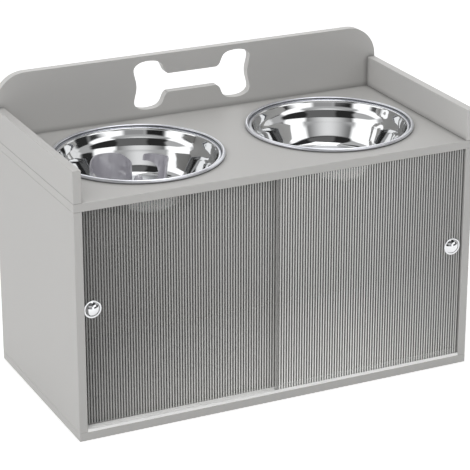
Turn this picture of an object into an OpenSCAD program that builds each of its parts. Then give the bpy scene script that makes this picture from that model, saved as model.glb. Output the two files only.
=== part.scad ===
// Elevated dog feeder with storage: a low cabinet of grey laminated boards with two steel bowls let into
// its top, a slow feeder insert in the left bowl, and two ribbed doors that slide past each other in front.
// Millimetres. X runs along the front, Y from front to back, Z up. The origin is on the floor, under the
// middle of the cabinet.

/* [Cabinet] */
// Width over the side panels
cabinet_w = 600; // [560:5:700]
// Depth from the front edge to the back edge
cabinet_d = 300; // [280:5:360]
// Height of the feeding surface above the floor
surface_h = 340; // [300:5:420]
// Thickness of the laminated boards
board_t = 12; // [12:0.5:16]
// Bevel broken onto every board edge
edge_bevel = 0.6; // [0.3:0.1:1]
// Thickness of the hardboard back
back_t = 3; // [2.5:0.5:4]
// Distance from the cabinet's rear edge to the back panel
back_inset = 13; // [10:1:20]
// Depth of the groove that holds the back panel
back_groove_depth = 4; // [3:0.5:6]

/* [Rails and backsplash] */
// Height of the side rails above the feeding surface
rail_h = 45; // [36:1:60]
// Height of the backsplash above the feeding surface
splash_h = 92; // [90:1:120]
// Radius of the two upper corners of the backsplash
splash_corner_r = 45; // [24:1:50]
// Length of the bone cut-out over its lobes
bone_l = 184; // [160:1:220]
// Radius of each of the four lobes of the bone
bone_lobe_r = 24; // [20:0.5:25]
// Height between the centres of the two lobes at one end
bone_lobe_rise = 25; // [22:1:28]
// Height of the bone's shaft
bone_shaft_h = 29; // [24:1:31]
// Radius of the hollow corners between the lobes and the shaft
bone_neck_r = 5; // [4:0.5:8]
// Radius of the hollow corner between the two lobes of one end
bone_notch_r = 5; // [4:0.5:8]
// Height of the bone's middle above the feeding surface
bone_rise = 47; // [43:1:50]

/* [Bowls] */
// Least gap between a bowl's rim and the side rail
bowl_side_gap = 20; // [10:1:30]
// Least gap between the rims of the two bowls
bowl_mid_gap = 56; // [30:1:80]
// Least gap between a bowl's rim and the front edge, and between the rim and the backsplash
bowl_front_gap = 24; // [12:1:36]
// Radius of the rolled bead along the rim
bead_r = 2.5; // [2:0.1:3]
// Width of the flat ledge between the bead and the mouth
ledge_w = 4.5; // [4:0.5:7]
// Depth of the bowl below the feeding surface
bowl_depth = 58; // [50:1:66]
// Thickness of the steel sheet
bowl_t = 1; // [0.8:0.1:1.2]
// Depth of the shoulder where the upper wall ends
shoulder_depth = 11; // [8:0.5:14]
// Height of the sloping shoulder
shoulder_h = 8; // [6:0.5:10]
// How far the upper wall leans in on its way down
upper_lean = 4.5; // [3:0.5:6]
// How far the shoulder steps in
shoulder_step = 5; // [4:0.5:8]
// How far the lower wall leans in on its way down
lower_lean = 14; // [10:0.5:18]
// Radius between the lower wall and the bowl's floor
floor_corner_r = 9; // [6:0.5:12]
// Height of the ledge's underside above the feeding surface
ledge_rise = 0.5; // [0.3:0.1:1]
// Radius of the bend at the mouth
mouth_bend_r = 1.6; // [1.4:0.1:2]
// Radius of the bends above and below the shoulder
shoulder_bend_r = 3; // [2:0.5:3.5]
// Clearance between a bowl and its hole
bowl_hole_gap = 1.5; // [1:0.1:2]

/* [Slow feeder insert] */
// Height of the fins above the insert's underside
fin_h = 53; // [48:1:55]
// Thickness of a fin
fin_t = 2.6; // [2.2:0.1:3.2]
// Radius of the insert's base plate, as a share of the radius of the bowl's floor
insert_base_share = 0.6; // [0.56:0.01:0.66]
// Radius of the half round that the left fin makes, as a share of the base plate's radius
left_fin_share = 0.555; // [0.5:0.005:0.58]
// Distance of the left fin's middle to the left of the bowl's axis, as a share of that radius
left_fin_x_share = 0.69; // [0.66:0.01:0.72]
// Distance of the left fin's middle behind the bowl's axis, as a share of that radius
left_fin_y_share = 0.155; // [0.08:0.005:0.2]
// Radius of the top corner at the left fin's inner end
left_fin_inner_r = 12; // [8:0.5:20]
// Radius of the top corner at the left fin's outer end
left_fin_outer_r = 20; // [12:0.5:24]
// Radius of the hollow below the left fin's outer tip
left_fin_hollow_r = 20; // [16:0.5:23]
// Height of that hollow's middle above the base plate
left_fin_hollow_rise = 11; // [8:0.5:14]
// Radius of the half round that the right fin makes, as a share of the base plate's radius
right_fin_share = 0.335; // [0.3:0.005:0.35]
// Distance of the right fin's middle to the right of the bowl's axis, as a share of that radius
right_fin_x_share = 0.345; // [0.32:0.005:0.38]
// Distance of the right fin's middle in front of the bowl's axis, as a share of that radius
right_fin_y_share = 0.075; // [0.04:0.005:0.12]
// Turn of the right fin about its own upright axis, in degrees
right_fin_turn = 130; // [120:1:140]
// Angle by which the right fin leans outwards, in degrees
right_fin_lean = 14; // [8:1:16]
// Radius of the top corner at the right fin's inner end
right_fin_inner_r = 9; // [4:0.5:12]
// Radius of the top corner at the right fin's outer end
right_fin_outer_r = 4; // [2:0.5:8]
// Radius of the hollow below the right fin's outer tip
right_fin_hollow_r = 18; // [14:0.5:20]
// Height of that hollow's middle above the base plate
right_fin_hollow_rise = 23; // [21:0.5:25]
// Thickness of the insert's base plate
insert_base_t = 2.5; // [2:0.1:3.5]
// Radius of the finger post in the middle
post_r = 6; // [4:0.5:6.5]
// Height of the finger post's straight part above the insert's underside
post_h = 22; // [14:1:28]

/* [Doors] */
// Thickness of the door's sheet, without its ribs
door_t = 1.8; // [1.6:0.1:2]
// Distance between two ribs
rib_pitch = 4; // [3.6:0.1:5]
// Height of a rib above the sheet
rib_h = 1.2; // [0.9:0.1:1.2]
// Width of the flat strip between two ribs
rib_flat = 0.4; // [0.3:0.1:0.6]
// Least width of the smooth strip at each upright edge of a door
door_margin = 3; // [2:0.5:6]
// How far the two closed doors overlap
door_overlap = 12; // [8:1:20]
// Gap between a closed door and its side panel
door_side_gap = 1; // [0.5:0.1:1.5]
// Height of the knobs above the floor
knob_z = 184; // [150:1:240]
// Distance from a side panel to the axis of its knob
knob_inset = 16; // [14.5:0.5:22]

/* [Track and grooves] */
// Height of the bottom track
track_h = 4; // [3.6:0.1:4.4]
// Thickness of the track's front and rear lips
track_lip = 1.5; // [1.2:0.1:1.8]
// Width of the web between the track's two grooves
track_web = 7; // [7:0.1:9]
// Thickness of the track below its grooves
track_floor = 1.2; // [1:0.1:1.4]
// Setback of the track from the front edge
track_setback = 0.5; // [0.5:0.1:2]
// Depth of the grooves milled into the top board's underside
top_groove_depth = 7; // [6.8:0.1:7.5]
// How far a door's upper edge stands in its groove
door_engagement = 3.5; // [3:0.1:3.8]

/* [Knobs] */
// Diameter of the knob's flange
knob_flange_d = 25; // [20:0.5:26]
// Thickness of the flange
knob_flange_t = 1; // [0.8:0.1:1.4]
// Diameter of the dome
knob_dome_d = 21; // [16:0.5:22]
// Height of the dome above the flange
knob_dome_h = 5; // [4:0.1:5]
// Thickness of metal left over the knob's screw hole
knob_cap = 1.7; // [1.2:0.1:2]
// Diameter of the knob's screw
knob_screw_d = 4; // [3:0.5:4]
// Diameter of the screw's flat head
knob_screw_head_d = 8; // [7:0.5:9]
// Height of the screw's head
knob_screw_head_h = 1.2; // [1:0.1:1.2]
// Width of the screw's six-sided socket over its corners
knob_screw_socket_d = 3.2; // [2.4:0.1:3.6]
// Depth of that socket
knob_screw_socket_depth = 0.6; // [0.4:0.1:0.8]

/* [Cabinet fittings] */
// Diameter of the wooden dowels
dowel_d = 6; // [5:0.5:7]
// Length of the wooden dowels
dowel_l = 24; // [20:1:30]
// Depth of a dowel's hole in the top board
dowel_in_top = 9; // [6:0.5:9]
// Diameter of a cam
cam_d = 15; // [12:0.5:16]
// Thickness of a cam
cam_t = 9; // [8:0.5:10]
// Width of the screwdriver slot in a cam
cam_slot_w = 1.2; // [1:0.1:1.6]
// Length of that slot
cam_slot_l = 10.5; // [8:0.5:11]
// Depth of that slot
cam_slot_depth = 2.2; // [1.5:0.1:2.5]
// Distance from a cam's axis to the side panel's upper edge
cam_drop = 24; // [20:1:34]
// Diameter of a cam bolt's shank
cam_bolt_d = 5; // [4.5:0.5:6]
// Diameter of a cam bolt's head
cam_bolt_head_d = 6.5; // [6.5:0.5:7]
// Height of a cam bolt's head
cam_bolt_head_h = 3.2; // [2.6:0.1:3.6]
// Length of a cam bolt's thread in the top board
cam_bolt_thread_l = 9; // [8:0.5:10]
// Diameter of the shank of the screws under the base board
base_screw_d = 5; // [4.5:0.5:6]
// Length of the screws under the base board
base_screw_l = 48; // [40:1:60]
// Diameter of the head of the screws under the base board
base_screw_head_d = 9; // [8:0.5:10]
// Height of the cone of that head
base_screw_head_h = 2.2; // [1.8:0.1:2.6]
// Diameter of the screws that hold the backsplash
splash_screw_d = 4; // [3.5:0.5:4.5]
// Length of the screws that hold the backsplash
splash_screw_l = 40; // [30:1:50]
// Diameter of the head of the screws that hold the backsplash
splash_screw_head_d = 7.6; // [7.2:0.2:8.4]
// Height of the cone of that head
splash_screw_head_h = 2.4; // [1.8:0.1:2.8]
// How far the flat heads are sunk below the face of the board
screw_sink = 0.6; // [0.3:0.1:0.8]

/* [Hidden] */

// Circles are drawn with this many sides
$fn = 96;
// How far a cut runs past the face that it opens
cut_over = 1;
// Gap between pieces that slide on or lift off each other
run_gap = 0.3;
// Gap around a fitting in its hole
fit_gap = 0.1;
// Gap at the closed end of a blind hole or groove
end_gap = 0.5;
// How far a rounded corner's circle stands proud of the two edges that it meets
corner_ease = 0.2;
// Number of straight steps in the arc of a rounded corner
corner_steps = 8;

// Places along an edge, as shares of its length
base_screw_shares = [0.15, 0.5, 0.85];
cam_shares = [0.3, 0.7];
panel_dowel_shares = [0.12, 0.88];
rail_dowel_shares = [0.22, 0.82];
splash_screw_shares = [0.05, 0.27, 0.73, 0.95];

inner_w = cabinet_w - 2 * board_t;
front_y = -cabinet_d / 2;
rear_y = cabinet_d / 2;
panel_z = board_t;
panel_h = surface_h - 2 * board_t;
under_top_z = surface_h - board_t;
panel_mid_x = (cabinet_w - board_t) / 2;
splash_front_y = rear_y - board_t;
rail_l = splash_front_y - front_y;
back_y = rear_y - back_inset - back_t;

door_depth = door_t + rib_h;
groove_w = door_depth + 2 * run_gap;
track_d = 2 * track_lip + track_web + 2 * groove_w;
track_y = front_y + track_setback;
front_groove_y = track_y + track_lip;
rear_groove_y = front_groove_y + groove_w + track_web;

door_w = inner_w / 2 + door_overlap / 2 - door_side_gap;
door_foot_z = panel_z + track_floor + run_gap;
door_h = under_top_z + door_engagement - door_foot_z;
rib_count = floor((door_w - 2 * door_margin) / rib_pitch);
rib_chord = rib_pitch - rib_flat;
rib_r = (rib_chord * rib_chord / 4 + rib_h * rib_h) / (2 * rib_h);
knob_x = inner_w / 2 - knob_inset;
knob_h = knob_flange_t + knob_dome_h;
knob_hole_depth = knob_h - knob_cap;
knob_screw_l = door_depth + knob_hole_depth - end_gap;

bowl_y = (front_y + splash_front_y) / 2;
bowl_room_w = inner_w / 2 - bowl_side_gap - bowl_mid_gap / 2;
bowl_room_d = rail_l - 2 * bowl_front_gap;
bowl_rim_d = min(bowl_room_w, bowl_room_d);
bowl_x = (bowl_mid_gap + bowl_room_w) / 2;
bead_z = run_gap + bead_r;
ledge_z = run_gap + ledge_rise + bowl_t;
ledge_end_r = bowl_rim_d / 2 - bead_r;
mouth_r = bowl_rim_d / 2 - 2 * bead_r - ledge_w;
shoulder_top_r = mouth_r - upper_lean;
shoulder_low_r = shoulder_top_r - shoulder_step;
floor_r = shoulder_low_r - lower_lean;
bowl_hole_r = mouth_r + bowl_t + bowl_hole_gap;

insert_z = surface_h - bowl_depth + run_gap;
insert_base_r = floor_r * insert_base_share;
left_fin_r = insert_base_r * left_fin_share;
right_fin_r = insert_base_r * right_fin_share;

cam_z = under_top_z - cam_drop;
cam_pocket_r = cam_d / 2 + fit_gap;

laminate_grey = "#BAB9B7";
hardboard_grey = "#A3A2A0";
track_white = "#F2F2F0";
ribbed_grey = "#9A9A98";
steel_bright = "#D4D6DA";
insert_grey = "#8F8E96";
beech = "#D8BE92";
zinc = "#B9BCC0";

// Places of a pair of like things on the left and right
SIDES = [-1, 1];

function unit(v) = v / norm(v);

function along(shares, start, length) = [for (share = shares) start + share * length];

// Points along the shorter arc about a centre, from one of its points to another
function arc_points(centre, from, to) = [
    for (i = [0 : corner_steps])
        centre + norm(from - centre) * unit((from - centre) * (corner_steps - i) + (to - centre) * i)
];

// The arc that rounds the corner b between a and c
function rounded(a, b, c, r) =
    let (u = unit(a - b), v = unit(c - b), half = acos(u * v) / 2)
    arc_points(b + unit(u + v) * r / sin(half), b + u * r / tan(half), b + v * r / tan(half));

// The same path moved to its right by a distance
function beside(path, distance) = [
    for (i = [0 : len(path) - 1])
        let (along = unit(path[min(i + 1, len(path) - 1)] - path[max(i - 1, 0)]))
        path[i] + distance * [along[1], -along[0]]
];

function reversed(path) = [for (i = [len(path) - 1 : -1 : 0]) path[i]];

function after_first(path) = [for (i = [1 : len(path) - 1]) path[i]];

function flipped(path, x_sign, y_sign) = [for (point = path) [x_sign * point[0], y_sign * point[1]]];

module bevelled_rectangle(w, h) {
    b = edge_bevel;
    polygon([[b, 0], [w - b, 0], [w, b], [w, h - b], [w - b, h], [b, h], [0, h - b], [0, b]]);
}

// A board of the given size with all its edges bevelled, from its low corner
module board(size) {
    intersection() {
        linear_extrude(size[2]) bevelled_rectangle(size[0], size[1]);
        translate([0, size[1], 0]) rotate([90, 0, 0])
            linear_extrude(size[1]) bevelled_rectangle(size[0], size[2]);
        rotate([90, 0, 90]) linear_extrude(size[0]) bevelled_rectangle(size[1], size[2]);
    }
}

// The hardboard back, or with a gap the groove that takes it
module back_sheet(gap, reach) {
    translate([-inner_w / 2 - reach, back_y - gap, panel_z - reach])
        cube([inner_w + 2 * reach, back_t + 2 * gap, panel_h + 2 * reach]);
}

module back_groove() {
    back_sheet(fit_gap, back_groove_depth);
}

module at_base_screws() {
    for (side = SIDES, y = along(base_screw_shares, front_y, cabinet_d))
        translate([side * panel_mid_x, y, 0]) children();
}

module at_cams() {
    for (side = SIDES, y = along(cam_shares, front_y, cabinet_d))
        translate([side * panel_mid_x, y, cam_z]) children();
}

module at_panel_dowels() {
    for (side = SIDES, y = along(panel_dowel_shares, front_y, cabinet_d))
        translate([side * panel_mid_x, y, under_top_z]) children();
}

module at_rail_dowels() {
    for (side = SIDES, y = along(rail_dowel_shares, front_y, rail_l))
        translate([side * panel_mid_x, y, surface_h]) children();
}

module at_splash_screws() {
    for (x = along(splash_screw_shares, -cabinet_w / 2, cabinet_w))
        translate([x, rear_y - board_t / 2, under_top_z]) children();
}

// A screw that points up from the face it is driven into, or with a gap its hole
module countersunk_screw(d, length, head_d, head_h, gap) {
    translate([0, 0, screw_sink]) {
        cylinder(h = head_h, r1 = head_d / 2 + gap, r2 = d / 2 + gap);
        cylinder(h = length + gap, r = d / 2 + gap);
    }
    if (gap > 0)
        translate([0, 0, -cut_over]) cylinder(h = cut_over + screw_sink, r = head_d / 2 + gap);
}

module base_screw(gap) {
    countersunk_screw(base_screw_d, base_screw_l, base_screw_head_d, base_screw_head_h, gap);
}

module splash_screw(gap) {
    countersunk_screw(splash_screw_d, splash_screw_l, splash_screw_head_d, splash_screw_head_h, gap);
}

// A dowel whose lower part stands in the board below, or with a gap its hole
module panel_dowel(gap) {
    translate([0, 0, dowel_in_top - dowel_l - gap]) cylinder(h = dowel_l + 2 * gap, r = dowel_d / 2 + gap);
}

module rail_dowel(gap) {
    translate([0, 0, -dowel_in_top - gap]) cylinder(h = dowel_l + 2 * gap, r = dowel_d / 2 + gap);
}

// A bolt whose head stands in the cam and whose thread is in the top board
module cam_bolt(gap) {
    translate([0, 0, -cam_bolt_head_h / 2 - gap])
        cylinder(h = cam_bolt_head_h + 2 * gap, r = cam_bolt_head_d / 2 + gap);
    cylinder(h = cam_drop + cam_bolt_thread_l + gap, r = cam_bolt_d / 2 + gap);
}

// The way down which the bolt's head goes to the cam
module cam_bolt_way() {
    translate([0, 0, -cam_bolt_head_d]) cylinder(h = cam_drop + cam_bolt_head_d + cut_over,
        r = cam_bolt_head_d / 2 + fit_gap);
}

module cam_disc(r, length) {
    rotate([0, 90, 0]) cylinder(h = length, r = r);
}

module base_board() {
    color(laminate_grey)
    difference() {
        translate([-cabinet_w / 2, front_y, 0]) board([cabinet_w, cabinet_d, board_t]);
        back_groove();
        at_base_screws() base_screw(fit_gap);
    }
}

module side_panel(side) {
    low_x = side < 0 ? -cabinet_w / 2 : cabinet_w / 2 - board_t;
    inner_x = side * inner_w / 2;
    color(laminate_grey)
    difference() {
        translate([low_x, front_y, panel_z]) board([board_t, cabinet_d, panel_h]);
        back_groove();
        at_base_screws() base_screw(fit_gap);
        at_panel_dowels() panel_dowel(fit_gap);
        at_cams() cam_bolt_way();
        for (y = along(cam_shares, front_y, cabinet_d))
            translate([side < 0 ? inner_x - cam_t - fit_gap : inner_x - cut_over, y, cam_z])
                cam_disc(cam_pocket_r, cam_t + fit_gap + cut_over);
    }
}

module left_side_panel() {
    side_panel(-1);
}

module right_side_panel() {
    side_panel(1);
}

module top_board() {
    color(laminate_grey)
    difference() {
        translate([-cabinet_w / 2, front_y, under_top_z]) board([cabinet_w, cabinet_d, board_t]);
        for (side = SIDES)
            translate([side * bowl_x, bowl_y, under_top_z - cut_over])
                cylinder(h = board_t + 2 * cut_over, r = bowl_hole_r);
        for (y = [front_groove_y, rear_groove_y])
            translate([-inner_w / 2, y, under_top_z - cut_over])
                cube([inner_w, groove_w, top_groove_depth + cut_over]);
        back_groove();
        at_cams() cam_bolt(fit_gap);
        at_panel_dowels() panel_dowel(fit_gap);
        at_rail_dowels() rail_dowel(fit_gap);
        at_splash_screws() splash_screw(fit_gap);
    }
}

module back_panel() {
    color(hardboard_grey) back_sheet(0, back_groove_depth - end_gap);
}

// One quarter of the bone's outline, from the end of its shaft's upper edge to the middle of its right end
function bone_quarter() =
    let (lobe = [bone_l / 2 - bone_lobe_r, bone_lobe_rise / 2])
    let (neck_reach = bone_lobe_r + bone_neck_r, neck_rise = bone_shaft_h / 2 + bone_neck_r - lobe[1])
    let (neck = lobe + [-sqrt(neck_reach * neck_reach - neck_rise * neck_rise), neck_rise])
    let (notch_reach = bone_lobe_r + bone_notch_r)
    let (notch = [lobe[0] + sqrt(notch_reach * notch_reach - lobe[1] * lobe[1]), 0])
    let (lobe_start = lobe + unit(neck - lobe) * bone_lobe_r, lobe_top = lobe + [0, bone_lobe_r])
    let (lobe_side = lobe + [bone_lobe_r, 0], lobe_end = lobe + unit(notch - lobe) * bone_lobe_r)
    concat(
        arc_points(neck, neck - [0, bone_neck_r], lobe_start),
        after_first(arc_points(lobe, lobe_start, lobe_top)),
        after_first(arc_points(lobe, lobe_top, lobe_side)),
        after_first(arc_points(lobe, lobe_side, lobe_end)),
        after_first(arc_points(notch, lobe_end, notch - [bone_notch_r, 0]))
    );

module bone() {
    quarter = bone_quarter();
    right_half = concat(quarter, after_first(reversed(flipped(quarter, 1, -1))));
    polygon(concat(right_half, flipped(right_half, -1, -1)));
}

// What is cut off a square corner of the backsplash to round it
module splash_corner() {
    difference() {
        translate([-splash_corner_r, -splash_corner_r]) square(splash_corner_r + cut_over);
        translate([corner_ease - splash_corner_r, corner_ease - splash_corner_r]) circle(r = splash_corner_r);
    }
}

module backsplash() {
    color(laminate_grey)
    difference() {
        translate([-cabinet_w / 2, splash_front_y, surface_h]) board([cabinet_w, board_t, splash_h]);
        translate([0, rear_y + cut_over, surface_h]) rotate([90, 0, 0])
            linear_extrude(board_t + 2 * cut_over) {
                for (flip = [0, 1])
                    mirror([flip, 0]) translate([cabinet_w / 2, splash_h]) splash_corner();
                translate([0, bone_rise]) bone();
            }
        at_splash_screws() splash_screw(fit_gap);
    }
}

module rail(side) {
    low_x = side < 0 ? -cabinet_w / 2 : cabinet_w / 2 - board_t;
    color(laminate_grey)
    difference() {
        translate([low_x, front_y, surface_h]) board([board_t, rail_l, rail_h]);
        at_rail_dowels() rail_dowel(fit_gap);
    }
}

module left_side_rail() {
    rail(-1);
}

module right_side_rail() {
    rail(1);
}

module bottom_track() {
    color(track_white)
    translate([-inner_w / 2, track_y, panel_z])
        difference() {
            cube([inner_w, track_d, track_h]);
            for (y = [track_lip, track_lip + groove_w + track_web])
                translate([-cut_over, y, track_floor])
                    cube([inner_w + 2 * cut_over, groove_w, track_h]);
        }
}

module base_screws() {
    color(zinc) at_base_screws() base_screw(0);
}

module cam_bolts() {
    color(zinc) at_cams() cam_bolt(0);
}

module cam_locks() {
    color(zinc)
    for (side = SIDES, y = along(cam_shares, front_y, cabinet_d))
        translate([side * inner_w / 2, y, cam_z]) rotate([0, 0, side < 0 ? 180 : 0])
            difference() {
                cam_disc(cam_d / 2, cam_t);
                translate([board_t / 2, 0, -cam_bolt_head_d])
                    cylinder(h = cam_d, r = cam_bolt_head_d / 2 + fit_gap);
                translate([-cut_over, -cam_slot_l / 2, -cam_slot_w / 2])
                    cube([cam_slot_depth + cut_over, cam_slot_l, cam_slot_w]);
            }
}

module panel_dowels() {
    color(beech) at_panel_dowels() panel_dowel(0);
}

module rail_dowels() {
    color(beech) at_rail_dowels() rail_dowel(0);
}

module backsplash_screws() {
    color(zinc) at_splash_screws() splash_screw(0);
}

// The section of a door: a flat sheet with a row of half-round ribs on its front
module door_plan() {
    first_x = (door_w - (rib_count - 1) * rib_pitch) / 2;
    translate([0, rib_h]) square([door_w, door_t]);
    intersection() {
        for (i = [0 : rib_count - 1])
            translate([first_x + i * rib_pitch, rib_r]) circle(r = rib_r);
        square([door_w, rib_h + door_t / 2]);
    }
}

// A door whose outer edge is at X = 0 and whose ribs reach Y = 0
module ribbed_door() {
    color(ribbed_grey)
    difference() {
        translate([0, 0, door_foot_z]) linear_extrude(door_h) door_plan();
        translate([knob_inset - door_side_gap, door_depth + cut_over, knob_z]) rotate([90, 0, 0])
            cylinder(h = door_depth + 2 * cut_over, r = knob_screw_d / 2 + fit_gap);
    }
}

// The left door runs in the rear groove and the right door in the front one
module left_door() {
    translate([-inner_w / 2 + door_side_gap, rear_groove_y + run_gap, 0]) ribbed_door();
}

module right_door() {
    translate([inner_w / 2 - door_side_gap, front_groove_y + run_gap, 0]) mirror([1, 0, 0]) ribbed_door();
}

module at_left_knob() {
    translate([-knob_x, rear_groove_y + run_gap, knob_z]) rotate([90, 0, 0]) children();
}

module at_right_knob() {
    translate([knob_x, front_groove_y + run_gap, knob_z]) rotate([90, 0, 0]) children();
}

// A turned knob: a thin flange and a shallow dome, with a blind hole for its screw
module knob() {
    dome_r = (knob_dome_d * knob_dome_d / 4 + knob_dome_h * knob_dome_h) / (2 * knob_dome_h);
    color(steel_bright)
    difference() {
        rotate_extrude() {
            square([knob_flange_d / 2, knob_flange_t]);
            intersection() {
                translate([0, knob_h - dome_r]) circle(r = dome_r);
                square([knob_dome_d / 2, knob_h]);
            }
        }
        translate([0, 0, -cut_over])
            cylinder(h = knob_hole_depth + cut_over, r = knob_screw_d / 2 + fit_gap);
    }
}

module left_knob() {
    at_left_knob() knob();
}

module right_knob() {
    at_right_knob() knob();
}

module knob_screw() {
    head_z = -door_depth - knob_screw_head_h;
    color(zinc)
    difference() {
        union() {
            translate([0, 0, head_z]) cylinder(h = knob_screw_head_h, r = knob_screw_head_d / 2);
            translate([0, 0, -door_depth]) cylinder(h = knob_screw_l, r = knob_screw_d / 2);
        }
        translate([0, 0, head_z - cut_over])
            cylinder(h = cut_over + knob_screw_socket_depth, r = knob_screw_socket_d / 2, $fn = 6);
    }
}

module left_knob_screw() {
    at_left_knob() knob_screw();
}

module right_knob_screw() {
    at_right_knob() knob_screw();
}

// The inner face of a bowl in section, from its axis out to the rim, with every bend rounded
function bowl_path() =
    let (floor_middle = [0, -bowl_depth], floor_corner = [floor_r, -bowl_depth])
    let (shoulder_low = [shoulder_low_r, -shoulder_depth - shoulder_h])
    let (shoulder_top = [shoulder_top_r, -shoulder_depth])
    let (mouth = [mouth_r, ledge_z], ledge_end = [ledge_end_r, ledge_z])
    concat(
        [floor_middle],
        rounded(floor_middle, floor_corner, shoulder_low, floor_corner_r),
        rounded(floor_corner, shoulder_low, shoulder_top, shoulder_bend_r),
        rounded(shoulder_low, shoulder_top, mouth, shoulder_bend_r),
        rounded(shoulder_top, mouth, ledge_end, mouth_bend_r),
        [ledge_end]
    );

module bowl() {
    path = bowl_path();
    color(steel_bright)
    union() {
        rotate_extrude() polygon(concat(path, reversed(beside(path, bowl_t))));
        rotate_extrude() translate([ledge_end_r, bead_z]) circle(r = bead_r);
    }
}

module left_bowl() {
    translate([-bowl_x, bowl_y, surface_h]) bowl();
}

module right_bowl() {
    translate([bowl_x, bowl_y, surface_h]) bowl();
}

// A fin's outline from the side of its hollow, its inner end on the left and its outer tip on the right
module fin_outline(half_w, inner_r, outer_r, hollow_r, hollow_rise) {
    intersection() {
        difference() {
            translate([-half_w, 0]) square([2 * half_w, fin_h]);
            translate([half_w, insert_base_t + hollow_rise]) circle(r = hollow_r);
        }
        union() {
            translate([-half_w, 0]) square([half_w, fin_h - inner_r]);
            square([half_w, fin_h - outer_r]);
            translate([inner_r - half_w, 0]) square([2 * half_w - inner_r - outer_r, fin_h]);
            translate([inner_r - half_w, fin_h - inner_r]) circle(r = inner_r);
            translate([half_w - outer_r, fin_h - outer_r]) circle(r = outer_r);
        }
    }
}

// The half of a round wall that lies in front of its axis, cut to the fin's outline
module fin(r, inner_r, outer_r, hollow_r, hollow_rise) {
    half_w = r + fin_t / 2;
    intersection() {
        difference() {
            cylinder(h = fin_h, r = half_w);
            translate([0, 0, -cut_over]) cylinder(h = fin_h + 2 * cut_over, r = r - fin_t / 2);
        }
        rotate([90, 0, 0]) linear_extrude(half_w)
            fin_outline(half_w, inner_r, outer_r, hollow_r, hollow_rise);
    }
}

module left_fin() {
    translate([-insert_base_r * left_fin_x_share, insert_base_r * left_fin_y_share, 0]) rotate(180)
        fin(left_fin_r, left_fin_inner_r, left_fin_outer_r, left_fin_hollow_r, left_fin_hollow_rise);
}

// The right fin leans, so what would stand below the insert's underside is cut away
module right_fin() {
    intersection() {
        cylinder(h = fin_h, r = insert_base_r);
        translate([insert_base_r * right_fin_x_share, -insert_base_r * right_fin_y_share, 0])
            rotate([right_fin_lean, 0, right_fin_turn])
            fin(right_fin_r, right_fin_inner_r, right_fin_outer_r, right_fin_hollow_r, right_fin_hollow_rise);
    }
}

module slow_feeder_insert() {
    color(insert_grey)
    translate([-bowl_x, bowl_y, insert_z]) {
        cylinder(h = insert_base_t, r = insert_base_r);
        cylinder(h = post_h, r = post_r);
        translate([0, 0, post_h]) sphere(r = post_r);
        left_fin();
        right_fin();
    }
}

base_board();
left_side_panel();
right_side_panel();
top_board();
back_panel();
backsplash();
left_side_rail();
right_side_rail();
bottom_track();
base_screws();
cam_bolts();
cam_locks();
panel_dowels();
rail_dowels();
backsplash_screws();
left_door();
left_knob();
left_knob_screw();
right_door();
right_knob();
right_knob_screw();
left_bowl();
slow_feeder_insert();
right_bowl();
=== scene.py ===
import bpy
import math
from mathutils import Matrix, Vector


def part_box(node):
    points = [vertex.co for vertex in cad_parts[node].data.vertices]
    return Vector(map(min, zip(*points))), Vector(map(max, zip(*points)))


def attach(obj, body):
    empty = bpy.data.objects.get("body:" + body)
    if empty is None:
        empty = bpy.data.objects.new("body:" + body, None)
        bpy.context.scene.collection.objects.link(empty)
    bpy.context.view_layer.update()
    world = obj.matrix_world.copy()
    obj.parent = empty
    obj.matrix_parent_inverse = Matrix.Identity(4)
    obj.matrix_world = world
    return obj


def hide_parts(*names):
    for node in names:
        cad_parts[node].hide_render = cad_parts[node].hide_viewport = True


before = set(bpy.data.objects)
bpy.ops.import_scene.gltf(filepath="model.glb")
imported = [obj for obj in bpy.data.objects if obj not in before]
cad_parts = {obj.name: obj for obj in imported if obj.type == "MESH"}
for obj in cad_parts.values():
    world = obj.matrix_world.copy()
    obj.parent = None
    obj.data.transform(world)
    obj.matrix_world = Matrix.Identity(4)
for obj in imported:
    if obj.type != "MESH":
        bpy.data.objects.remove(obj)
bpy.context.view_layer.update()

# Camera: a long lens on the left of the cabinet and above it, as in the photograph. The picture is 470
# pixels wide on a 36 mm sensor, and the distances are in metres in the cabinet's own frame.
picture_px = 470
focal_px = 2144.4
look_down, look_right = 0.3726, 0.4463
bpy.ops.object.camera_add(location=(-1.2248, -2.5640, 1.3055),
                          rotation=(math.radians(90) - look_down, 0, -look_right))
camera = bpy.context.object
camera.name = "photo_camera"
camera.data.sensor_width = 36
camera.data.lens = focal_px / picture_px * camera.data.sensor_width
camera.data.clip_end = 50
bpy.context.scene.camera = camera
bpy.context.scene.view_settings.view_transform = "Standard"


# Studio floor: a broad sheet of white card under the cabinet, which keeps the cabinet's soft shadow. It is
# the photograph's white ground, and it looks fully white to the camera and in the polished metal.
def linear(hex_colour):
    """The linear colour of an sRGB hex value, with alpha 1."""
    parts = [int(hex_colour[i : i + 2], 16) / 255 for i in (1, 3, 5)]
    return tuple(c / 12.92 if c <= 0.04045 else ((c + 0.055) / 1.055) ** 2.4 for c in parts) + (1.0,)


def add_node(material, kind, settings=None, values=None, links=None):
    """A node with its settings, its sockets' values, and links from (node, output) to its sockets."""
    node = material.node_tree.nodes.new(kind)
    for name, value in (settings or {}).items():
        setattr(node, name, value)
    for name, value in (values or {}).items():
        node.inputs[name].default_value = value
    for name, (source, output) in (links or {}).items():
        material.node_tree.links.new(source.outputs[output], node.inputs[name])
    return node


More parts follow.
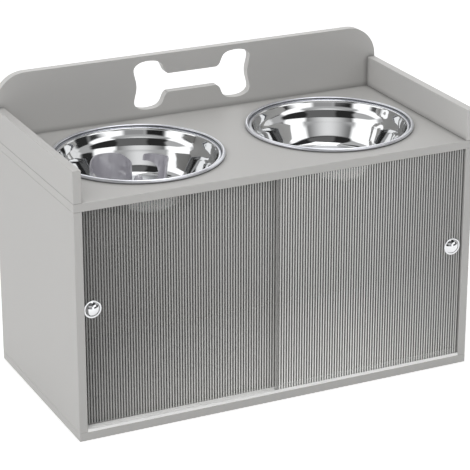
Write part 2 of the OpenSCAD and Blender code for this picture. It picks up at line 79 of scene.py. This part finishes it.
white_card = bpy.data.materials.new("white_card")
white_card.use_nodes = True
card_shader = white_card.node_tree.nodes["Principled BSDF"]
card_shader.inputs["Base Color"].default_value = linear("#F4F4F4")
card_shader.inputs["Roughness"].default_value = 0.9
card_shader.inputs["Specular IOR Level"].default_value = 0.1
card_shader.inputs["Emission Color"].default_value = linear("#FFFFFF")
card_ray = add_node(white_card, "ShaderNodeLightPath")
card_seen = add_node(white_card, "ShaderNodeMath", {"operation": "MAXIMUM"},
                     links={0: (card_ray, "Is Camera Ray"), 1: (card_ray, "Is Glossy Ray")})
card_seen = add_node(white_card, "ShaderNodeMath", {"operation": "MAXIMUM"},
                     links={0: (card_seen, "Value"), 1: (card_ray, "Is Transmission Ray")})
card_lift = add_node(white_card, "ShaderNodeMath", {"operation": "MULTIPLY"}, {1: 0.45},
                     {0: (card_seen, "Value")})
white_card.node_tree.links.new(card_lift.outputs["Value"], card_shader.inputs["Emission Strength"])

bpy.ops.object.select_all(action="DESELECT")
bpy.ops.mesh.primitive_plane_add(size=16, location=(0, 3, -0.0002))
floor_card = bpy.context.object
floor_card.name = "floor_card"
floor_card.data.materials.append(white_card)
bpy.ops.object.transform_apply(location=True, rotation=True, scale=True)

# Studio light: a grey surround with soft boxes and black flags, which the polished steel and the chromium
# mirror as bright and dark patches. The camera sees plain white in its place, also through the doors.
world = bpy.data.worlds.new("white_studio")
bpy.context.scene.world = world
world.use_nodes = True
bearing = add_node(world, "ShaderNodeTexCoord")
split = add_node(world, "ShaderNodeSeparateXYZ", links={"Vector": (bearing, "Generated")})
turn = add_node(world, "ShaderNodeMath", {"operation": "ARCTAN2"}, links={0: (split, "Y"), 1: (split, "X")})
turn = add_node(world, "ShaderNodeMath", {"operation": "MULTIPLY"}, {1: 180 / math.pi}, {0: (turn, "Value")})
turn = add_node(world, "ShaderNodeMath", {"operation": "FLOORED_MODULO"}, {1: 360}, {0: (turn, "Value")})
rise = add_node(world, "ShaderNodeMath", {"operation": "ARCSINE"}, links={0: (split, "Z")})
rise = add_node(world, "ShaderNodeMath", {"operation": "MULTIPLY"}, {1: 180 / math.pi}, {0: (rise, "Value")})


def panel(under, turns, rises, brightness, blur):
    """A soft box or a flag between two bearings and two heights in degrees, laid over what is under it."""
    level_blur = 3
    share = None
    for angle, edge, fade in ((turn, turns[0], blur), (turn, turns[1], -blur),
                              (rise, rises[0], level_blur), (rise, rises[1], -level_blur)):
        inside = add_node(world, "ShaderNodeMapRange", {"interpolation_type": "SMOOTHSTEP"},
                          {"From Min": edge - fade / 2, "From Max": edge + fade / 2},
                          {"Value": (angle, "Value")})
        if share:
            share = add_node(world, "ShaderNodeMath", {"operation": "MULTIPLY"},
                             links={0: (share, share.outputs[0].name), 1: (inside, "Result")})
        else:
            share = inside
    return add_node(world, "ShaderNodeMix", {"data_type": "FLOAT"}, {"B": brightness},
                    {"Factor": (share, "Value"), "A": (under, "Result")})


light = add_node(world, "ShaderNodeMapRange",
                 values={"From Min": -10, "From Max": 90, "To Min": 0.42, "To Max": 0.62},
                 links={"Value": (rise, "Value")})
# Each row is (from, to) in bearing and in height, the brightness, and the blur of the upright edges. Angles
# are in degrees. Bright rows are soft boxes, dark rows are flags, and the most blurred row is the glow low
# in the bowls.
for turns, rises, brightness, blur in (
        ((36, 98), (28, 64), 1.3, 9),
        ((196, 288), (2, 56), 0.2, 9),
        ((221, 267), (2, 56), 0.95, 44),
        ((-2, 40), (-12, 26), 0.95, 9),
        ((352, 362), (-12, 26), 0.95, 9),
        ((58, 82), (-12, 30), 1.3, 9),
        ((84, 102), (-12, 30), 0.08, 9),
        ((104, 120), (-12, 30), 1.2, 9),
        ((126, 157), (-12, 20), 1.4, 9),
        ((159, 176), (-12, 21), 0.1, 9),
        ((178, 206), (-12, 21), 1.5, 9),
        ((208, 236), (-12, 22), 0.02, 9),
        ((236, 268), (-12, 22), 0.35, 9),
        ((269, 290), (-12, 22), 1.5, 9),
        ((293, 322), (-12, 20), 0.05, 9),
        ((324, 349), (-12, 20), 0.03, 9),
        ((150, 200), (14.5, 36), 1.5, 9),
        ((284, 324), (14.5, 36), 1.5, 9),
        ((196, 288), (19.5, 24), 0.5, 9),
        ((196, 334), (33, 66), 0.03, 9),
        ((230, 286), (35, 68), 0.16, 9),
        ((108, 150), (58, 76), 0.03, 9),
        ((-2, 34), (38, 56), 0.03, 9)):
    light = panel(light, turns, rises, brightness, blur)
ray = add_node(world, "ShaderNodeLightPath")
straight = add_node(world, "ShaderNodeMath", {"operation": "MAXIMUM"},
                    links={0: (ray, "Is Camera Ray"), 1: (ray, "Is Transmission Ray")})
seen = add_node(world, "ShaderNodeMix", {"data_type": "FLOAT"}, {"B": 1},
                {"Factor": (straight, "Value"), "A": (light, "Result")})
world.node_tree.links.new(seen.outputs["Result"], world.node_tree.nodes["Background"].inputs["Strength"])
world.node_tree.nodes["Background"].inputs["Color"].default_value = linear("#FFFFFF")


def soft_lamp(name, place, target, size, power):
    """A square area lamp of the given size in metres that faces a target."""
    bpy.ops.object.light_add(type="AREA", location=place)
    lamp = bpy.context.object
    lamp.name = name
    lamp.data.shape = "SQUARE"
    lamp.data.size = size
    lamp.data.energy = power
    lamp.rotation_euler = (Vector(target) - Vector(place)).to_track_quat("-Z", "Y").to_euler()
    return lamp


key_lamp = soft_lamp("key_lamp", (-2.4, -2.3, 3.2), (0, 0, 0.2), 2.6, 56)
key_lamp.visible_glossy = False
soft_lamp("top_lamp", (0.4, -0.4, 3.2), (0, 0, 0.3), 2.0, 18)


# Grey boards: particle board faced with matt grey melamine, with edging of the same grey, screwed and
# dowelled together. The eye sees a fine even grain in the sheen and no pattern, and the inner corners of
# the top are painted darker, as painted shade. The grain is drawn coarser than the real one, so that it
# shows.
def laminate(name, face_hex, corner_shade_share):
    """Melamine or paint on board; the last argument is the share of its colour left in an inner corner, as
    painted shade.
    """
    grain_mm, cloud_mm, corner_shade_mm = 1.1111, 166.67, 9
    material = bpy.data.materials.new(name)
    material.use_nodes = True
    shader = material.node_tree.nodes["Principled BSDF"]
    place = add_node(material, "ShaderNodeTexCoord")
    grain = add_node(material, "ShaderNodeTexNoise",
                     values={"Scale": 1000 / grain_mm, "Detail": 3, "Roughness": 0.6},
                     links={"Vector": (place, "Object")})
    cloud = add_node(material, "ShaderNodeTexNoise", values={"Scale": 1000 / cloud_mm, "Detail": 2},
                     links={"Vector": (place, "Object")})
    tone = add_node(material, "ShaderNodeMix", {"data_type": "RGBA"}, links={"Factor": (cloud, "Fac")})
    for socket, share in (("A", 0.985), ("B", 1.015)):
        tone.inputs[socket].default_value = tuple(min(1, c * share) for c in linear(face_hex)[:3]) + (1,)
    sheen = add_node(material, "ShaderNodeMapRange", values={"To Min": 0.42, "To Max": 0.56},
                     links={"Value": (grain, "Fac")})
    relief = add_node(material, "ShaderNodeBump", values={"Strength": 0.05, "Distance": 0.0001},
                      links={"Height": (grain, "Fac")})
    # Painted shade: an ambient occlusion node darkens the colour in inner corners and seams, down to the
    # given share.
    corner = add_node(material, "ShaderNodeAmbientOcclusion", {"samples": 8}, {"Distance": corner_shade_mm / 1000})
    shade = add_node(material, "ShaderNodeMapRange", values={"To Min": corner_shade_share},
                     links={"Value": (corner, "AO")})
    corner_shaded_tone = add_node(material, "ShaderNodeMix", {"data_type": "RGBA", "blend_type": "MULTIPLY"},
                     {"Factor": 1}, {"A": (tone, "Result"), "B": (shade, "Result")})
    tree = material.node_tree
    tree.links.new(corner_shaded_tone.outputs["Result"], shader.inputs["Base Color"])
    tree.links.new(sheen.outputs["Result"], shader.inputs["Roughness"])
    tree.links.new(relief.outputs["Normal"], shader.inputs["Normal"])
    return material


def dress(node, material):
    """Gives a CAD node its material in every slot."""
    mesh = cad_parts[node].data
    if not mesh.materials:
        mesh.materials.append(material)
    for i in range(len(mesh.materials)):
        mesh.materials[i] = material


melamine = laminate("grey_melamine", "#BCBBB9", 1)
# The top board, the rails and the backsplash are painted darker in their inner corners, as painted shade.
corner_shaded_melamine = laminate("grey_melamine_painted_corner_shade", "#BCBBB9", 0.3)
for board in ("base_board", "left_side_panel", "right_side_panel"):
    dress(board, melamine)
dress("top_board", corner_shaded_melamine)
dress("left_side_rail", corner_shaded_melamine)
# Painted light: the right rail is painted a lighter grey than the other boards, as light on its inner face.
dress("right_side_rail", laminate("grey_melamine_right_rail_painted_light", "#C9C8C6", 0.3))

# Backsplash: the same faced board on edge behind the feeding surface, screwed on from below, with two
# rounded upper corners and a bone sawn out of it as an ornament. The bone's ends flare, with a shallow
# hollow at each end, and every sawn edge is painted a lighter grey, as a painted highlight.
splash_low, splash_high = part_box("backsplash")
splash_corner_mm = 45
bone_middle_mm = 48
bone_quarter = [(33.0, 13.9), (36.8, 14.0), (40.6, 15.4), (43.6, 18.9), (46.0, 24.6), (48.8, 29.8),
                (53.4, 33.4), (60.0, 35.4), (68.0, 36.1), (76.0, 35.7), (83.0, 33.9), (88.4, 30.6),
                (91.3, 26.4), (91.6, 21.6), (90.2, 14.6), (88.4, 7.2), (87.7, 0.0)]


def rounded_path(points, steps):
    """A closed smooth path through the points, with some steps from each to the next."""
    path = []
    for i in range(len(points)):
        before, start, end, after = (Vector(points[(i + k) % len(points)]) for k in (-1, 0, 1, 2))
        for t in (j / steps for j in range(steps)):
            path.append(0.5 * (2 * start + (end - before) * t
                               + (2 * before - 5 * start + 4 * end - after) * t ** 2
                               + (3 * start - before - 3 * end + after) * t ** 3))
    return path


def edge_loop(name, path):
    """A closed loop of edges in the plane Y = 0, through (X, Z) points in mm."""
    bpy.ops.mesh.primitive_circle_add(vertices=len(path), radius=0.1, location=(0, 0, 0))
    loop = bpy.context.object
    loop.name = name
    for vertex, (x, z) in zip(loop.data.vertices, path):
        vertex.co = (x / 1000, 0, z / 1000)
    return loop


half_w, splash_h = splash_high.x * 1000, (splash_high.z - splash_low.z) * 1000
corner = [(half_w - splash_corner_mm + splash_corner_mm * math.cos(math.radians(a)),
           splash_h - splash_corner_mm + splash_corner_mm * math.sin(math.radians(a)))
          for a in range(0, 91, 6)]
board_path = [(-half_w, 0), (half_w, 0)] + corner + [(-x, z) for x, z in reversed(corner)]
right_end = bone_quarter + [(x, -z) for x, z in bone_quarter[-2::-1]]
left_end = [(-x, -z) for x, z in right_end]
bone_path = rounded_path([(x, bone_middle_mm + z) for x, z in right_end + left_end], 3)
bpy.ops.object.select_all(action="DESELECT")
bone_loop = edge_loop("bone_loop", bone_path)
splash = edge_loop("backsplash_sawn", board_path)
bone_loop.select_set(True)
splash.select_set(True)
bpy.context.view_layer.objects.active = splash
bpy.ops.object.join()
bpy.ops.object.mode_set(mode="EDIT")
bpy.ops.mesh.select_all(action="SELECT")
bpy.ops.mesh.fill(use_beauty=True)
bpy.ops.mesh.select_all(action="SELECT")
bpy.ops.mesh.extrude_region_move(TRANSFORM_OT_translate={"value": (0, splash_high.y - splash_low.y, 0)})
bpy.ops.mesh.select_all(action="SELECT")
bpy.ops.mesh.normals_make_consistent(inside=False)
bpy.ops.object.mode_set(mode="OBJECT")
splash.location = (0, splash_low.y, splash_low.z)
bpy.ops.object.transform_apply(location=True, rotation=False, scale=False)
bevel = splash.modifiers.new("edge_bevel", "BEVEL")
bevel.width = 0.0006
bevel.segments = 1
bevel.limit_method = "ANGLE"
bevel.angle_limit = math.radians(50)
bpy.ops.object.modifier_apply(modifier="edge_bevel")
bpy.ops.object.shade_smooth_by_angle(angle=math.radians(20))
splash.data.materials.append(laminate("grey_melamine_backsplash", "#BCBBB9", 0.3))
# Painted highlight: every face of the backsplash that faces neither front nor back, the sawn edges too, is a
# lighter grey.
splash.data.materials.append(laminate("grey_edge_painted_highlight", "#CCCBC9", 1))
for face in splash.data.polygons:
    if abs(face.normal.y) < 0.5:
        face.material_index = 1
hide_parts("backsplash")
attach(splash, "cabinet")


# Back panel: a sheet of thin hardboard, painted grey, that stands in a groove in the boards round it. The
# eye sees an even matt grey, darker than the boards.
dress("back_panel", laminate("painted_hardboard", "#A5A4A2", 1))


# Bottom track: one white plastic extrusion with two grooves, which lies along the front of the base board.
# Extruding leaves it even and a little glossy.
def moulded(name, hex_colour, roughness, mottle_mm=0.5, relief=0.04):
    """A moulded or extruded plastic: even colour, and a fine mottle in its sheen and relief."""
    material = bpy.data.materials.new(name)
    material.use_nodes = True
    shader = material.node_tree.nodes["Principled BSDF"]
    shader.inputs["Base Color"].default_value = linear(hex_colour)
    shader.inputs["IOR"].default_value = 1.5
    place = add_node(material, "ShaderNodeTexCoord")
    mottle = add_node(material, "ShaderNodeTexNoise", values={"Scale": 1000 / mottle_mm, "Detail": 2},
                      links={"Vector": (place, "Object")})
    sheen = add_node(material, "ShaderNodeMapRange",
                     values={"To Min": roughness - 0.05, "To Max": roughness + 0.05},
                     links={"Value": (mottle, "Fac")})
    bump = add_node(material, "ShaderNodeBump", values={"Strength": relief, "Distance": 0.0001},
                    links={"Height": (mottle, "Fac")})
    material.node_tree.links.new(sheen.outputs["Result"], shader.inputs["Roughness"])
    material.node_tree.links.new(bump.outputs["Normal"], shader.inputs["Normal"])
    return material


dress("bottom_track", moulded("white_extruded_plastic", "#FFFFFE", 0.3))


# Cabinet fittings: zinc-plated steel screws and bolts, cast zinc cams and turned beech dowels, which hold
# the boards, the backsplash and the knobs. Most are out of sight, and the metals gleam softly.
def metal(name, hex_colour, roughness, grain_mm, spread=0.06):
    """A metal with a fine variation in its sheen."""
    material = bpy.data.materials.new(name)
    material.use_nodes = True
    shader = material.node_tree.nodes["Principled BSDF"]
    shader.inputs["Base Color"].default_value = linear(hex_colour)
    shader.inputs["Metallic"].default_value = 1
    place = add_node(material, "ShaderNodeTexCoord")
    grain = add_node(material, "ShaderNodeTexNoise", values={"Scale": 1000 / grain_mm, "Detail": 2},
                     links={"Vector": (place, "Object")})
    sheen = add_node(material, "ShaderNodeMapRange",
                     values={"To Min": max(0, roughness - spread / 2), "To Max": roughness + spread / 2},
                     links={"Value": (grain, "Fac")})
    material.node_tree.links.new(sheen.outputs["Result"], shader.inputs["Roughness"])
    return material


zinc_plate = metal("zinc_plated_steel", "#B9BCC0", 0.35, 0.8)
for fitting in ("base_screws", "cam_bolts", "backsplash_screws", "left_knob_screw", "right_knob_screw"):
    dress(fitting, zinc_plate)
dress("cam_locks", metal("cast_zinc", "#A6A8AB", 0.5, 0.6))
beech = bpy.data.materials.new("turned_beech")
beech.use_nodes = True
beech_place = add_node(beech, "ShaderNodeTexCoord")
beech_ray_mm = 1.43
beech_rays = add_node(beech, "ShaderNodeTexNoise", values={"Scale": 1000 / beech_ray_mm, "Detail": 3},
                      links={"Vector": (beech_place, "Object")})
beech_tone = add_node(beech, "ShaderNodeMix", {"data_type": "RGBA"},
                      {"A": linear("#CFAE7C"), "B": linear("#DDC094")}, {"Factor": (beech_rays, "Fac")})
beech_shader = beech.node_tree.nodes["Principled BSDF"]
beech.node_tree.links.new(beech_tone.outputs["Result"], beech_shader.inputs["Base Color"])
beech_shader.inputs["Roughness"].default_value = 0.6
dress("panel_dowels", beech)
dress("rail_dowels", beech)

# Sliding doors: clear polystyrene sheet, extruded with upright half-round ribs on its front. Each rib's
# crest is painted light as a painted highlight and its hollow painted dark grey as painted shade, and the
# hollow shows a little of the dark cupboard and the bowls. The crests are painted darker towards the outer
# end of each door, as painted shade, the foot of the sheet is painted lighter, as painted light from the
# white track, and the strip along its left edge is smooth.
def reeded(node, crest_mm, painted_light_stops):
    """A door's material: the place of a crest along X in mm, and (X in metres, crest colour) pairs of
    painted light and shade.
    """
    pitch, smooth_strip, cupboard_half = 0.004, 0.0035, 0.288
    hollow_cover, crest_cover = 0.4, 0.97
    foot_light, upper_light = 1.2, 0.84
    material = moulded(node + "_reeded_polystyrene", "#8E8E8C", 0.16, 1.5, 0.03)
    shader = material.node_tree.nodes["Principled BSDF"]
    low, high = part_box(node)
    place = add_node(material, "ShaderNodeTexCoord")
    split = add_node(material, "ShaderNodeSeparateXYZ", links={"Vector": (place, "Object")})
    phase = add_node(material, "ShaderNodeMath", {"operation": "MULTIPLY_ADD"},
                     {1: 2 * math.pi / pitch, 2: -2 * math.pi * crest_mm / 1000 / pitch}, {0: (split, "X")})
    wave = add_node(material, "ShaderNodeMath", {"operation": "COSINE"}, links={0: (phase, "Value")})
    rib = add_node(material, "ShaderNodeMapRange", {"interpolation_type": "SMOOTHSTEP"},
                   {"From Min": -0.8, "From Max": 0.8}, {"Value": (wave, "Value")})
    ribbed = add_node(material, "ShaderNodeMath", {"operation": "GREATER_THAN"}, {1: low.x + smooth_strip},
                      {0: (split, "X")})
    rib = add_node(material, "ShaderNodeMix", {"data_type": "FLOAT"}, {"A": 0.35},
                   {"Factor": (ribbed, "Value"), "B": (rib, "Result")})
    across = add_node(material, "ShaderNodeMapRange",
                      values={"From Min": -cupboard_half, "From Max": cupboard_half},
                      links={"Value": (split, "X")})
    # Painted light and shade: the crest colour follows the stops, darker at each door's outer end, lighter
    # towards the middle.
    painted_crest_light = add_node(material, "ShaderNodeValToRGB", links={"Fac": (across, "Result")})
    for i, (x, colour) in enumerate(painted_light_stops):
        stop = painted_crest_light.color_ramp.elements[i] if i < 2 else painted_crest_light.color_ramp.elements.new(1)
        stop.position = (x + cupboard_half) / (2 * cupboard_half)
        stop.color = linear(colour)
    # Painted shade and highlight: the hollow between the ribs is painted dark grey, the crest takes the
    # painted crest light.
    tone = add_node(material, "ShaderNodeMix", {"data_type": "RGBA"}, {"A": linear("#5C5C5A")},
                    {"Factor": (rib, "Result"), "B": (painted_crest_light, "Color")})
    cover = add_node(material, "ShaderNodeMapRange", values={"To Min": hollow_cover, "To Max": crest_cover},
                     links={"Value": (rib, "Result")})
    front = add_node(material, "ShaderNodeMath", {"operation": "LESS_THAN"}, {1: high.y - 0.0001},
                     {0: (split, "Y")})
    alpha = add_node(material, "ShaderNodeMath", {"operation": "MULTIPLY"},
                     links={0: (cover, "Result"), 1: (front, "Value")})
    # Painted light: the foot of the sheet is painted lighter, as light from the white track, and the rest a
    # little darker.
    painted_track_light = add_node(material, "ShaderNodeMapRange",
                    values={"From Min": 0.02, "From Max": 0.16, "To Min": foot_light, "To Max": upper_light},
                    links={"Value": (split, "Z")})
    painted_light_tone = add_node(material, "ShaderNodeMix", {"data_type": "RGBA", "blend_type": "MULTIPLY"},
                   {"Factor": 1}, {"A": (tone, "Result"), "B": (painted_track_light, "Result")})
    material.node_tree.links.new(painted_light_tone.outputs["Result"], shader.inputs["Base Color"])
    material.node_tree.links.new(alpha.outputs["Value"], shader.inputs["Alpha"])
    return material


dress("left_door", reeded("left_door", 3.5, ((-0.288, "#9A9A98"), (-0.16, "#C8C8C5"), (-0.05, "#DEDEDB"),
                                             (0.01, "#E6E6E3"))))
dress("right_door", reeded("right_door", 0.5, ((-0.01, "#EEEEEB"), (0.12, "#F2F2EF"), (0.2, "#E2E2DF"),
                                               (0.288, "#CACAC7"))))


# Knobs: turned brass, chromium plated and mirror bright: a flat flange that rests on the ribs, and a low
# dome. A screw from behind the door holds each one.
def ring_form(name, vertices, rings):
    """A round piece drawn up from a disc about the upright axis: each ring is (radius, height) in mm."""
    bpy.ops.object.select_all(action="DESELECT")
    radius, height = rings[0]
    bpy.ops.mesh.primitive_circle_add(vertices=vertices, radius=radius / 1000, fill_type="NGON",
                                      location=(0, 0, height / 1000))
    piece = bpy.context.object
    piece.name = name
    bpy.ops.object.transform_apply(location=True, rotation=False, scale=False)
    bpy.ops.object.mode_set(mode="EDIT")
    for _ in range(2):
        bpy.ops.mesh.inset(thickness=radius / 1000 * 0.35)
    bpy.ops.mesh.select_mode(type="VERT")
    bpy.ops.mesh.select_all(action="DESELECT")
    bpy.ops.object.mode_set(mode="OBJECT")
    for vertex in piece.data.vertices:
        vertex.select = vertex.co.xy.length > radius / 1000 * 0.99
    bpy.ops.object.mode_set(mode="EDIT")
    for next_radius, next_height in rings[1:]:
        climb = (next_height - height) / 1000
        bpy.ops.mesh.extrude_region_move(TRANSFORM_OT_translate={"value": (0, 0, climb)})
        factor = next_radius / radius
        bpy.ops.transform.resize(value=(factor, factor, 1), center_override=(0, 0, next_height / 1000))
        radius, height = next_radius, next_height
    bpy.ops.mesh.select_all(action="SELECT")
    bpy.ops.mesh.remove_doubles(threshold=0.000001)
    bpy.ops.mesh.normals_make_consistent(inside=False)
    bpy.ops.object.mode_set(mode="OBJECT")
    return piece


def arc(centre_r, centre_z, radius, start_deg, end_deg, steps):
    """Points (radius, height) in mm round a centre, from one angle to another."""
    return [(centre_r + radius * math.cos(math.radians(start_deg + (end_deg - start_deg) * i / steps)),
             centre_z + radius * math.sin(math.radians(start_deg + (end_deg - start_deg) * i / steps)))
            for i in range(steps + 1)]


chrome = metal("chromium_plate", "#DEDFE1", 0.05, 2.0, 0.03)
flange_r, flange_h, flange_bevel = 12.5, 1.0, 0.4
dome_r, dome_h = 10.5, 5.0
sphere_r = (dome_r ** 2 + dome_h ** 2) / (2 * dome_h)
dome_edge = math.degrees(math.asin(dome_r / sphere_r))
knob_rings = ([(flange_r - flange_bevel, 0), (flange_r, flange_h / 4), (flange_r, flange_h * 3 / 4),
               (flange_r - flange_bevel, flange_h), (dome_r + 0.4, flange_h)]
              + arc(0, flange_h + dome_h - sphere_r, sphere_r, 90 - dome_edge, 88.5, 10)
              + [(0.12, flange_h + dome_h)])
for side, node, body in ((-1, "left_knob", "left_sliding_door"), (1, "right_knob", "right_sliding_door")):
    low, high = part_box(node)
    knob = ring_form(node + "_turned", 48, knob_rings)
    knob.rotation_euler = (math.radians(90), 0, 0)
    knob.location = ((low.x + high.x) / 2, high.y, (low.z + high.z) / 2)
    bpy.ops.object.transform_apply(location=True, rotation=True, scale=False)
    bpy.ops.object.shade_smooth_by_angle(angle=math.radians(40))
    knob.data.materials.append(chrome)
    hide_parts(node)
    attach(knob, body)

# Bowls: deep-drawn stainless steel, mirror polished, with a stepped wall, a narrow flat ledge and a rim
# rolled into a bead that rests on the board. The rim is buffed and the floor is satin, both duller than the
# wall, and the rim is painted brighter and bluer than the wall, as a painted highlight. The seam beside the
# bead is painted dark grey, as painted shade in the crease.
steel = metal("polished_stainless_steel", "#DCDDDE", 0.045, 1.2, 0.02)
# Painted highlight: the buffed rim's steel is brighter and bluer than the polished wall.
buffed_with_painted_highlight = metal("buffed_stainless_steel_painted_highlight", "#F6F8FE", 0.28, 1.2, 0.02)
# Painted shade: the seam between the ledge and the bead is a dark grey steel.
painted_seam_shade = metal("stainless_steel_painted_seam_shade", "#6E7075", 0.45, 0.8)
satin = metal("satin_stainless_steel", "#C2C3C6", 0.42, 0.8)
seam_from, seam_to, ledge_from, floor_to = 0.1144, 0.1152, 0.1112, 0.078
lower_wall = [(99.8, -21.0), (97.5, -27.1), (95.0, -33.2), (92.3, -39.4), (89.5, -45.5), (86.5, -51.6)]
bowl_inside = ([(70.0, -58.0), (77.8, -58.0), (81.2, -57.2), (84.2, -54.8)] + lower_wall[::-1]
               + [(101.2, -18.6), (103.2, -15.8), (105.2, -13.0),
                  (106.4, -10.6), (107.8, -6.0), (109.6, -1.0), (110.1, 0.6)]
               + [(110.9, 1.5), (112.0, 1.8), (114.0, 1.8), (114.4, 1.0), (115.3, 1.0)]
               + arc(117.5, 2.8, 2.5, 222, -88, 14))
for node, body in (("left_bowl", "left_lift_out_bowl"), ("right_bowl", "right_lift_out_bowl")):
    low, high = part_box(node)
    middle = (low + high) / 2
    bowl = ring_form(node + "_drawn", 96, bowl_inside)
    bowl.location = (middle.x, middle.y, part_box("top_board")[1].z)
    bpy.ops.object.transform_apply(location=True, rotation=False, scale=False)
    wall = bowl.modifiers.new("wall", "SOLIDIFY")
    wall.thickness = 0.0009
    wall.offset = -1
    bpy.ops.object.modifier_apply(modifier="wall")
    bpy.ops.object.shade_smooth()
    bowl.data.materials.append(steel)
    for finish in (buffed_with_painted_highlight, painted_seam_shade, satin):
        bowl.data.materials.append(finish)
    for face in bowl.data.polygons:
        from_axis = math.dist(face.center[:2], middle[:2])
        if seam_from < from_axis < seam_to:
            face.material_index = 2
        elif from_axis > ledge_from:
            face.material_index = 1
        elif from_axis < floor_to:
            face.material_index = 3
    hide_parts(node)
    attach(bowl, body)

# Slow feeder insert: one moulding in grey plastic that lets a little light through, with two crescent fins
# and a finger post on a thin base that stands loose on the bowl's floor. Its satin skin takes a highlight.
insert_plastic = moulded("satin_grey_plastic", "#B4B2BA", 0.3, 0.8)
insert_shader = insert_plastic.node_tree.nodes["Principled BSDF"]
insert_shader.inputs["Alpha"].default_value = 0.94
insert_shader.inputs["Coat Weight"].default_value = 1
insert_shader.inputs["Coat IOR"].default_value = 2.0
insert_shader.inputs["Coat Roughness"].default_value = 0.1
dress("slow_feeder_insert", insert_plastic)
